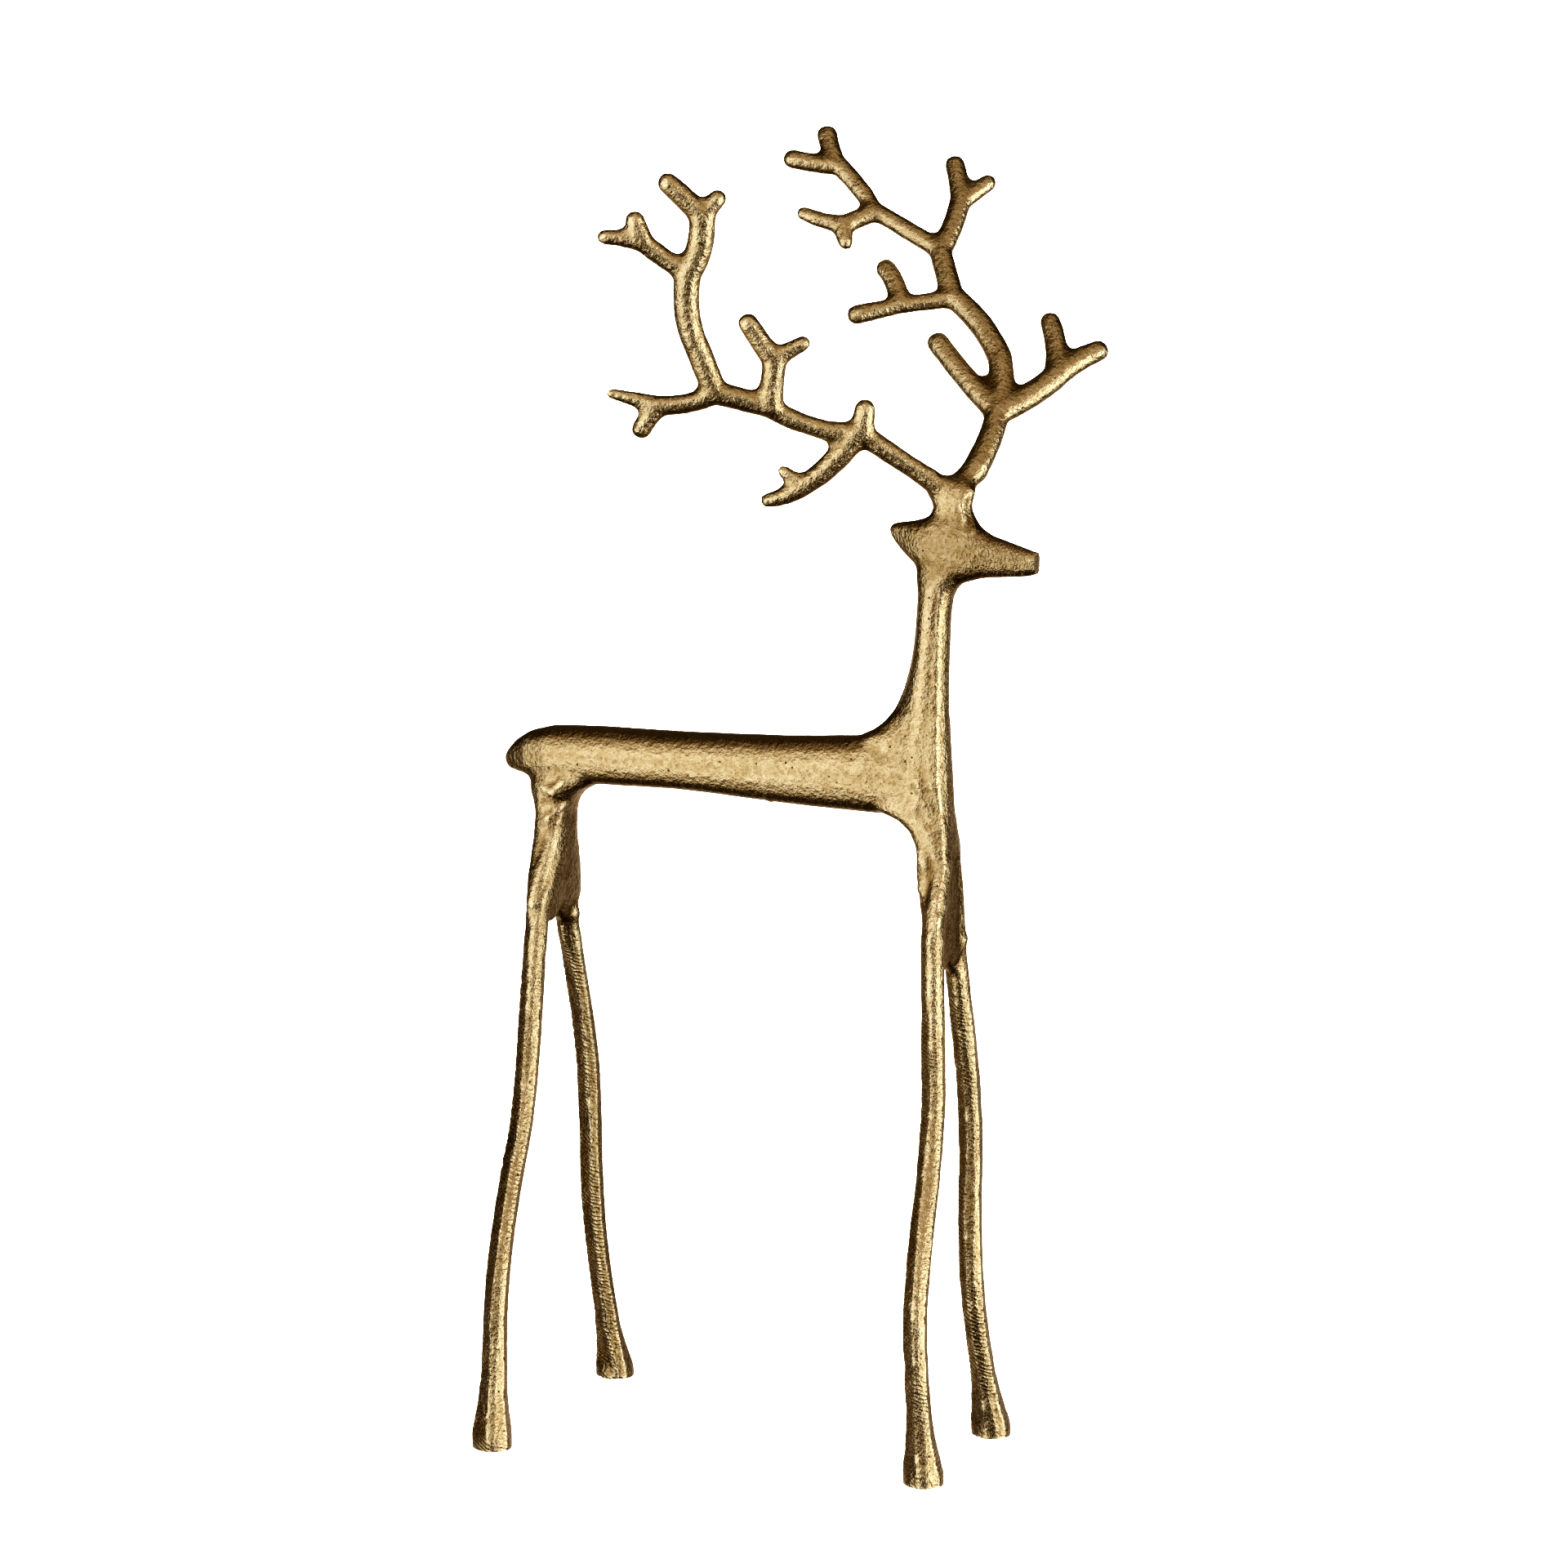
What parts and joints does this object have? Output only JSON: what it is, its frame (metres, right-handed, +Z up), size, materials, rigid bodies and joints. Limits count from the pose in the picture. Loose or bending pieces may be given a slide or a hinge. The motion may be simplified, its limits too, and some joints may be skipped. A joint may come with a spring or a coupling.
{
  "type": "reindeer figurine",
  "caption": "Slim stylised reindeer figurine cast in gold-finished metal, standing on long splayed legs with flared feet, with branching antlers, as a shelf or table ornament",
  "frame": {"origin": "on the floor, under the middle of the whole figure with its antlers", "axes": "+X the way the nose points, +Y the animal's left, +Z up"},
  "size_m": [0.229, 0.1476, 0.508],
  "materials": {
    "reindeer": "satin antique gold over sand-cast grain, filed and polished on the edges"
  },
  "bodies": {
    "root": {"reindeer": "reindeer"}
  },
  "joints": []
}
